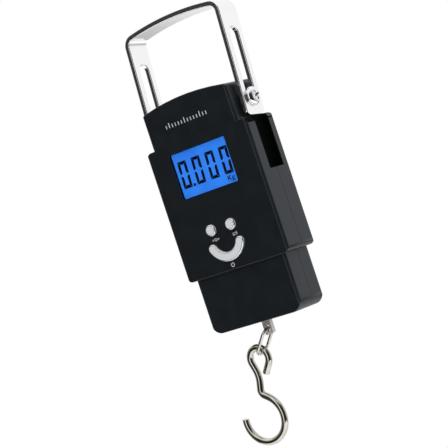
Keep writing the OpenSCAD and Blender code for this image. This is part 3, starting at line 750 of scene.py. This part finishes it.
strip_edge, end_round, short_step = 0.5, 2.4, 0.7
bar = bmesh.new()
bar.faces.new([bar.verts.new((x, y, -leg_tail)) for x, y in (
    (leg_inner, -strip_width / 2), (leg_outer, -strip_width / 2),
    (leg_outer, strip_width / 2), (leg_inner, strip_width / 2))])
bmesh.ops.bevel(bar, geom=bar.verts[:], offset=strip_edge, affect="VERTICES", segments=4, profile=0.5,
                material=-1)
end = bar.faces[:][0]
end = along(bar, end, (0, 0, leg_tail + bend_z - short_step))
end = along(bar, end, (0, 0, short_step))
end = around(bar, end, (bend_x, 0, bend_z), bend_turn, 14)
end = around(bar, end, (0, 0, bow_top - bow_radius), 180 - 2 * bend_turn, 76)
end = around(bar, end, (-bend_x, 0, bend_z), bend_turn, 14)
end = along(bar, end, (0, 0, -short_step))
end = along(bar, end, (0, 0, short_step - leg_tail - bend_z))
bmesh.ops.remove_doubles(bar, verts=bar.verts, dist=1e-4)
bmesh.ops.recalc_face_normals(bar, faces=bar.faces)


def through_both_legs(face):
    """A shape seen from the front, stood side-on and drawn through both legs."""
    thicken(face, -leg_outer - 5, leg_outer + 5)
    bmesh.ops.rotate(face, verts=face.verts, matrix=Matrix.Rotation(radians(90), 3, "Z"))
    return face


cuts = [through_both_legs(trace((-slot_width / 2, 0), [(0, 0, 180), (slot_width / 2, handle_travel),
                                                       (0, handle_travel, 180), (-slot_width / 2, 0)]))]
for side in (-1, 1):
    far, near, foot_z = side * strip_width / 2, side * (strip_width / 2 - end_round), -leg_tail
    cuts.append(through_both_legs(trace((far, foot_z + end_round), [
        (far + side, foot_z + end_round), (far + side, foot_z - 1), (near, foot_z - 1), (near, foot_z),
        (near, foot_z + end_round, side * 90)])))
handle = shaped(bar, cut=cuts)
soften(handle, 0.5, 55, 3, lambda e: (e.verts[0].co.z + e.verts[1].co.z) / 2 > -leg_tail + 4)
soften(handle, 0.2, 55, 2, lambda e: (e.verts[0].co.z + e.verts[1].co.z) / 2 < -leg_tail + 3)
piece("carrying_bow", handle, satin_chrome, "handle", ["handle"], lean_place)

# ---------- side screws ----------
# Pan-head steel screws with a cross recess, chrome plated, that hold the legs and let them slide.

# Bright chrome plate: a near mirror, so the head shows the dark and the bright side of the room.
bright_chrome, tree, shader, coords = new_material("bright_chrome_plate")
mottled(tree, coords, shader.inputs["Base Color"], "#E6E6E8", "#F1F1F2", 4)
waves = grained(tree, coords, shader, 3, 0.1, 0.03)
varied(tree, waves, shader.inputs["Roughness"], 0.06, 0.1)
shader.inputs["Metallic"].default_value = 1.0

screw_head, head_height, head_gap, shank, shank_length = 9.4, 2.74, 0.2, 4.8, 9.4
cross_depth, cross_half, cross_width = 1.7, 2.6, 1.1
head_x = leg_outer + head_gap
screws = bmesh.new()
for side in (-1, 1):
    head = bmesh.new()
    profile = [(0, screw_head / 2), (0.9, screw_head / 2), (1.7, screw_head / 2 - 0.5),
               (2.25, screw_head / 2 - 1.5), (2.6, screw_head / 2 - 2.8), (head_height, 0)]
    verts = [head.verts.new((x, r, 0)) for x, r in profile]
    edges = [head.edges.new(pair) for pair in zip(verts, verts[1:])]
    bmesh.ops.spin(head, geom=verts + edges, cent=(0, 0, 0), axis=(1, 0, 0), angle=2 * pi, steps=48,
                   use_merge=True)
    bmesh.ops.remove_doubles(head, verts=head.verts, dist=1e-4)
    bmesh.ops.holes_fill(head, edges=head.edges, sides=0)
    recess = []
    for angle in (20, 110):
        slot = block((head_height - cross_depth, head_height + 1), (-cross_half, cross_half),
                     (-cross_width / 2, cross_width / 2))
        bmesh.ops.rotate(slot, verts=slot.verts, matrix=Matrix.Rotation(radians(angle), 3, "X"))
        recess.append(slot)
    head = shaped(head, joined=[rod((-shank_length, 0, 0), (0.3, 0, 0), shank)], cut=recess)
    soften(head, 0.08, 60, 2)
    bmesh.ops.transform(head, matrix=Matrix.Translation((head_x, screw_y, screw_z)), verts=head.verts)
    if side < 0:
        bmesh.ops.scale(head, verts=head.verts, vec=(-1, 1, 1))
        bmesh.ops.reverse_faces(head, faces=head.faces)
    data = bpy.data.meshes.new("screw")
    head.to_mesh(data)
    head.free()
    screws.from_mesh(data)
piece("side_screws", screws, bright_chrome, body_of["handle_screws"], ["handle_screws"])

# ---------- link and hook ----------
# Steel wire bent cold: a welded oval link, and a hook with its eye left open, both bright nickel
# plated. The plate is a little warm and draws fine lines along the wire.

# Nickel plate: warm grey metal, nearly a mirror, which runs dark and bright along the wire.
nickel, tree, shader, coords = new_material("nickel_plate")
mottled(tree, coords, shader.inputs["Base Color"], "#B9B5AB", "#CBC8C0", 5)
drawn = grained(tree, coords, shader, 6, 0.06, 0.05)
varied(tree, drawn, shader.inputs["Roughness"], 0.06, 0.12)
shader.inputs["Metallic"].default_value = 1.0


def bent_wire(diameter, path, closed=False):
    """Round wire bent in the XY plane from the origin along +X: lines and (radius, degrees) bends."""
    bm = bmesh.new()
    bmesh.ops.create_circle(bm, cap_ends=False, segments=28, radius=diameter / 2)
    bmesh.ops.rotate(bm, verts=bm.verts, matrix=Matrix.Rotation(radians(90), 3, "Y"))
    first = ring = bm.edges[:]
    here, heading = Vector((0, 0, 0)), 0.0
    for step in path:
        way = Vector((cos(heading), sin(heading), 0))
        if len(step) == 1:
            made = bmesh.ops.extrude_edge_only(bm, edges=ring)["geom"]
            ring = [g for g in made if isinstance(g, bmesh.types.BMEdge)]
            corners = [g for g in made if isinstance(g, bmesh.types.BMVert)]
            bmesh.ops.translate(bm, verts=corners, vec=way * step[0])
            ring = [e for e in ring if all(v in corners for v in e.verts)]
            here = here + way * step[0]
        else:
            radius, turn = step
            side = Vector((-way.y, way.x, 0)) * (radius if turn > 0 else -radius)
            centre = here + side
            made = bmesh.ops.spin(bm, geom=ring, cent=centre, axis=(0, 0, 1), angle=radians(turn),
                                  steps=max(4, round(abs(turn) / 6)))["geom_last"]
            ring = [g for g in made if isinstance(g, bmesh.types.BMEdge)]
            here = centre + Matrix.Rotation(radians(turn), 3, "Z") @ -side
            heading += radians(turn)
    if closed:
        bmesh.ops.remove_doubles(bm, verts=bm.verts, dist=0.02)
    else:
        for loop in (first, ring):
            bmesh.ops.edgeloop_fill(bm, edges=[e for e in loop if e.is_valid])
    bmesh.ops.recalc_face_normals(bm, faces=bm.faces)
    return bm


load_y, hole_z = 9, -lower_height - 4.1
link_wire, link_radius, link_side, link_lean = 1.7, 4.1, 6.9, 41
hook_wire, eye_radius, bowl_radius, hook_lean, eye_lead, eye_start = 3.6, 5.6, 11.9, 15, 5.8, -22
link_turn, hook_turn = radians(link_lean), radians(hook_lean - link_lean)
link_place = casing_place @ Matrix.Translation((0, load_y, hole_z)) @ Matrix.Rotation(link_turn, 4, "Y")
link = bent_wire(link_wire, [(link_side,), (link_radius, 180), (link_side,), (link_radius, 180)], True)
bmesh.ops.transform(link, verts=link.verts, matrix=(
    Matrix.Translation((0, 0, -link_radius)) @ Matrix.Rotation(radians(90), 4, "Y")
    @ Matrix.Translation((0, -link_radius, 0))))
piece("oval_link", link, nickel, "link", ["link"], link_place, True)

link_drop = link_side + 2 * link_radius + eye_radius - (hook_wire + link_wire) / 2 - 0.25
hook_place = link_place @ Matrix.Translation((0, 0, -link_drop)) @ Matrix.Rotation(hook_turn, 4, "Y")
# from the tip of the eye: the eye, the shank with its slight waist, and the bowl
hook = bent_wire(hook_wire, [(eye_lead,), (eye_radius, 233), (3.4,), (12, -31.5), (3.7,), (3.2, 72.5), (2.3,),
                             (bowl_radius, -247)])
soften(hook, 0.3, 60, 3)
bmesh.ops.transform(hook, verts=hook.verts, matrix=(
    Matrix.Rotation(radians(90), 4, "X") @ Matrix.Rotation(radians(eye_start), 4, "Z")
    @ Matrix.Translation((eye_radius, 0, 0)) @ Matrix.Rotation(radians(90), 4, "Z")
    @ Matrix.Translation((-eye_lead, 0, 0))))
piece("wire_hook", hook, nickel, "hook", ["hook"], hook_place, True)

# The tab is a strip of the same steel, stamped, pierced for the link and screwed to the load cell.
# Its plate is duller, because the strip was tumbled before it was plated.
tumbled_nickel, tree, shader, coords = new_material("tumbled_nickel_plate")
mottled(tree, coords, shader.inputs["Base Color"], "#D2CFC8", "#E4E2DC", 2)
scuffs = grained(tree, coords, shader, 0.8, 0.1, 0.02)
varied(tree, scuffs, shader.inputs["Roughness"], 0.4, 0.5)
shader.inputs["Metallic"].default_value = 0.6
tab_end, tab_top, hole_width, screw_hole, tab_screws_z = -lower_height - 7.4, 5.5, 3.2, 3.1, (-3, 2.5)
tab = thicken(round_rect(-tab_width / 2, tab_width / 2, tab_end, tab_top, 1.2), tab_y[0], tab_y[1])
holes = [(hole_z, hole_width)] + [(z, screw_hole) for z in tab_screws_z]
tab = shaped(tab, cut=[rod((0, 5, z), (0, 13, z), width) for z, width in holes])
soften(tab, 0.2, 60, 2)
piece("load_tab", tab, tumbled_nickel, "casing", ["hook_tab"])

# ---------- what is inside ----------
# The board, the load cell with its frame and screws, and the battery bay. They stay as modelled
# and show only at the openings and with the battery door slid away.

# each finish: its darker and lighter shade, patch size in mm, metallic, roughness and nodes
inside = (
    ("zinc_steel", "#B4B6B8", "#C6C8CA", 3, 1.0, 0.32,
     ["case_screws", "board_screws", "cell_screws", "tab_screws", "frame_plate"]),
    ("machined_aluminium", "#C2C4C6", "#D0D2D4", 4, 1.0, 0.28, ["load_cell"]),
    ("gauge_foil", "#B5743A", "#C98A4A", 0.6, 0.6, 0.4, ["strain_gauges"]),
    ("glass_epoxy_board", "#14502C", "#1B6336", 2, 0.0, 0.45, ["circuit_board"]),
    ("potting_epoxy", "#0C0C0D", "#131314", 1, 0.0, 0.3, ["board_chips", "buzzer"]),
    ("switch_nylon", "#202123", "#2B2C2E", 1, 0.0, 0.5, ["key_switches"]),
    ("plunger_acetal", "#C9C8C0", "#DAD9D2", 1, 0.0, 0.45,
     ["plunger_left", "plunger_right", "plunger_crescent"]),
    ("frosted_light_guide", "#DCE6F2", "#EBF1F8", 2, 0.0, 0.6, ["backlight"]),
    ("conductive_rubber", "#B8602C", "#3A3A3C", 0.5, 0.0, 0.7, ["contact_strip"]),
    ("white_acetal", "#DEDDD6", "#EAE9E3", 2, 0.0, 0.35, ["sleeve_left", "sleeve_right"]),
    ("black_tray_abs", "#15181A", "#1B1E20", 3, 0.0, 0.5, ["battery_tray"]),
    ("tinned_spring_steel", "#B9B8B0", "#D0CFC8", 1, 1.0, 0.25, ["battery_plates"]),
    ("wire_insulation", "#8E1414", "#A81C1C", 1, 0.0, 0.45, ["cell_leads", "battery_leads"]),
)
for name, dark, light, size, metallic, roughness, nodes in inside:
    finish, tree, shader, coords = new_material(name)
    pattern = mottled(tree, coords, shader.inputs["Base Color"], dark, light, size)
    varied(tree, pattern, shader.inputs["Roughness"], roughness - 0.06, roughness + 0.06)
    grained(tree, coords, shader, size / 4, 0.1, 0.02)
    shader.inputs["Metallic"].default_value = metallic
    carried(nodes, finish)

# ---------- batteries ----------
# Two small alkaline cells: a steel can in a printed shrink sleeve, its rims turned in, with the
# positive nub at one end. The bay's springs are coiled wire.

# Shrink sleeve: glossy off-white film with a grey-green band round the upper third.
sleeve_film, tree, shader, coords = new_material("shrink_sleeve")
split = add_node(tree, "SeparateXYZ", [(coords, "Object", "Vector")])
band = add_node(tree, "ValToRGB", [])
height = add_node(tree, "MapRange", [(split, "Z", "Value")])
low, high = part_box("battery_left")
height.inputs["From Min"].default_value, height.inputs["From Max"].default_value = low.z, high.z
tree.links.new(height.outputs["Result"], band.inputs["Fac"])
band.color_ramp.interpolation = "CONSTANT"
band.color_ramp.elements[0].color = colour("#E2E3E0")
band_start = 0.66
band.color_ramp.elements[1].position, band.color_ramp.elements[1].color = band_start, colour("#7E9C8A")
tree.links.new(band.outputs["Color"], shader.inputs["Base Color"])
grained(tree, coords, shader, 6, 0.1, 0.05)
shader.inputs["Roughness"].default_value = 0.3
# Nickelled can: bright pale metal where the sleeve ends.
can_steel, tree, shader, coords = new_material("nickelled_can")
mottled(tree, coords, shader.inputs["Base Color"], "#BDBDB8", "#CECEC9", 2)
shader.inputs["Metallic"].default_value = 1.0
shader.inputs["Roughness"].default_value = 0.24
for name in ("battery_left", "battery_right"):
    low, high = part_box(name)
    nub_down = name == "battery_left"
    radius, length, nub = (high.x - low.x) / 2 / mm, (high.z - low.z) / mm, 0.8
    profile = [(0, 0), (radius - 1.2, 0), (radius - 0.9, 0.15), (radius - 0.3, 0), (radius, 0.3),
               (radius, length - nub - 0.3), (radius - 0.3, length - nub), (radius - 1, length - nub - 0.2),
               (radius - 1.4, length - nub - 0.1), (1.9, length - nub), (1.9, length - 0.2), (1.7, length),
               (0, length)]
    cell = bmesh.new()
    verts = [cell.verts.new((r, 0, z)) for r, z in profile]
    edges = [cell.edges.new(pair) for pair in zip(verts, verts[1:])]
    bmesh.ops.spin(cell, geom=verts + edges, cent=(0, 0, 0), axis=(0, 0, 1), angle=2 * pi, steps=48,
                   use_merge=True)
    bmesh.ops.remove_doubles(cell, verts=cell.verts, dist=1e-4)
    for face in cell.faces:
        face.material_index = 0 if face.calc_center_median().xy.length > radius - 0.31 else 1
    if nub_down:
        bmesh.ops.rotate(cell, verts=cell.verts, matrix=Matrix.Rotation(pi, 3, "X"))
        bmesh.ops.translate(cell, verts=cell.verts, vec=(0, 0, length))
    bmesh.ops.recalc_face_normals(cell, faces=cell.faces)
    spot = Matrix.Translation(((low.x + high.x) / 2, (low.y + high.y) / 2, low.z)) @ Matrix.Scale(mm, 4)
    piece(name + "_cell", cell, [sleeve_film, can_steel], body_of[name], [name], spot)

coils = bmesh.new()
spring_low, spring_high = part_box("battery_springs")
cell_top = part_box("battery_left")[1].z
spring_turns, spring_steps, coil_radius, coil_wire = 4, 24, 3, 0.8
spring_length = (spring_high.z - cell_top) / mm
for x, z in ((-cell_x, cell_top), (cell_x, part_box("battery_right")[0].z - spring_length * mm)):
    coil = bmesh.new()
    bmesh.ops.create_circle(coil, cap_ends=False, segments=10, radius=coil_wire / 2)
    bmesh.ops.rotate(coil, verts=coil.verts, matrix=Matrix.Rotation(radians(90), 3, "X"))
    bmesh.ops.translate(coil, verts=coil.verts, vec=(coil_radius, 0, coil_wire / 2))
    count = spring_turns * spring_steps
    bmesh.ops.spin(coil, geom=coil.edges[:], cent=(0, 0, 0), axis=(0, 0, 1), angle=2 * pi * spring_turns,
                   steps=count, dvec=(0, 0, (spring_length - coil_wire) / count))
    bmesh.ops.holes_fill(coil, edges=coil.edges, sides=0)
    bmesh.ops.recalc_face_normals(coil, faces=coil.faces)
    spot = Matrix.Translation((x * mm, (spring_low.y + spring_high.y) / 2, z)) @ Matrix.Scale(mm, 4)
    bmesh.ops.transform(coil, matrix=spot, verts=coil.verts)
    data = bpy.data.meshes.new("coil")
    coil.to_mesh(data)
    coil.free()
    coils.from_mesh(data)
piece("contact_springs", coils, bpy.data.materials["tinned_spring_steel"], "casing",
      ["battery_springs"], Matrix.Identity(4))
